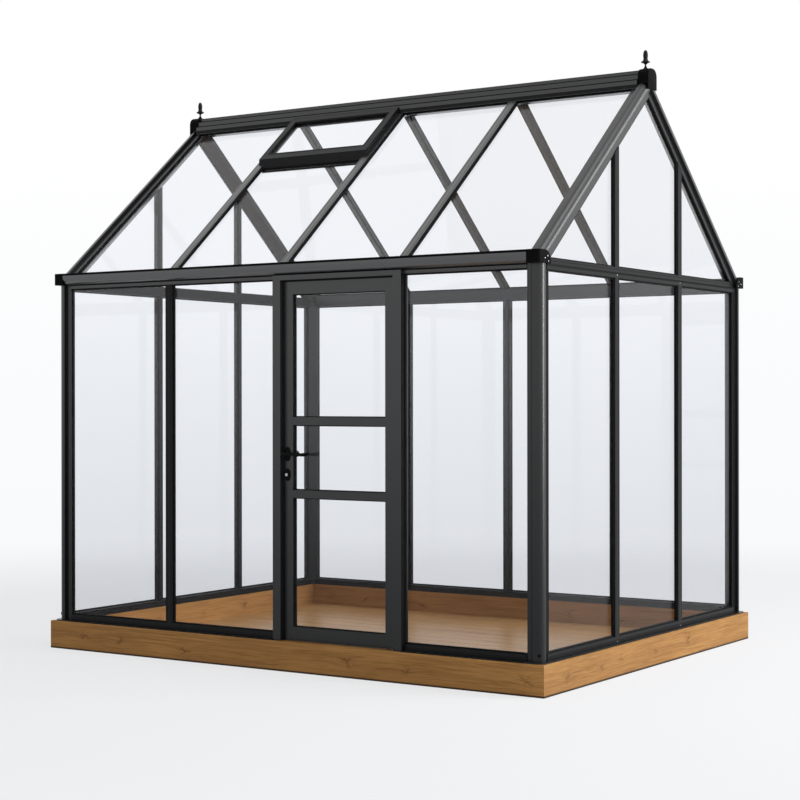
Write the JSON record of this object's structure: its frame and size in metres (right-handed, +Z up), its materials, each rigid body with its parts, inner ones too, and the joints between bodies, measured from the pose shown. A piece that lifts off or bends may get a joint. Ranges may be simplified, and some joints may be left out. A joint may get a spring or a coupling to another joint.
{
  "type": "glass greenhouse",
  "caption": "Gabled glass greenhouse with a dark metal frame, gutters, ridge finials, a roof vent and a hinged side door with a lever handle, on a timber base with a deck.",
  "frame": {"origin": "middle of the plan at ground level, on the underside of the deck", "axes": "+X along the ridge, to the right as seen from the door side; the door side faces -Y; +Z up"},
  "size_m": [3.084, 2.424, 3.1617],
  "materials": {
    "frame_metal": "fine matt powder coat, anthracite",
    "glass": "clear toughened glass",
    "base_timber": "oiled oak beams with long grain and small knots",
    "deck_timber": "oiled boards",
    "black_plastic": "moulded, satin",
    "handle_metal": "satin black"
  },
  "bodies": {
    "frame": {"back_eave_rail": "frame_metal", "back_gutter": "frame_metal", "back_gutter_caps": "black_plastic", "back_left_barge": "frame_metal", "back_left_post": "frame_metal", "back_mullions": "frame_metal", "back_panes": "glass", "back_rafters": "frame_metal", "back_right_barge": "frame_metal", "back_right_post": "frame_metal", "back_roof_panes": "glass", "back_sill": "frame_metal", "base_back_beam": "base_timber", "base_front_beam": "base_timber", "base_left_beam": "base_timber", "base_right_beam": "base_timber", "door_header": "frame_metal", "finials": "black_plastic", "floor_deck": "deck_timber", "front_eave_rail": "frame_metal", "front_gutter": "frame_metal", "front_gutter_caps": "black_plastic", "front_left_barge": "frame_metal", "front_left_post": "frame_metal", "front_left_sill": "frame_metal", "front_mullion": "frame_metal", "front_panes": "glass", "front_rafters": "frame_metal", "front_right_barge": "frame_metal", "front_right_post": "frame_metal", "front_right_sill": "frame_metal", "front_roof_panes": "glass", "hinge_jamb": "frame_metal", "hinge_pins": "frame_metal", "latch_jamb": "frame_metal", "left_gable_mullions": "frame_metal", "left_gable_panes": "glass", "left_gable_rail": "frame_metal", "left_gable_top_panes": "glass", "left_sill": "frame_metal", "ridge_beam": "frame_metal", "ridge_caps": "black_plastic", "right_gable_mullions": "frame_metal", "right_gable_panes": "glass", "right_gable_rail": "frame_metal", "right_gable_top_panes": "glass", "right_sill": "frame_metal", "vent_cross_bar": "frame_metal", "vent_pane": "glass", "vent_rails": "frame_metal", "vent_stiles": "frame_metal"},
    "door": {"door_stiles": "frame_metal", "door_rails": "frame_metal", "door_panes": "glass", "hinge_sleeves": "frame_metal", "lock_plates": "handle_metal"},
    "lever": {"lever_handle": "handle_metal"}
  },
  "joints": [
    {"name": "door_hinge", "type": "hinge", "parent": "frame", "child": "door", "pos_m": [0.699, -1.121, 1.06], "axis": [0, 0, -1], "range_deg": [0, 95]},
    {"name": "lever_turn", "type": "hinge", "parent": "door", "child": "lever", "pos_m": [0.051, -1.1475, 1.09], "axis": [0, 1, 0], "range_deg": [0, 40], "stiffness_Nm_per_rad": 1.2, "springref_deg": -22.92}
  ]
}
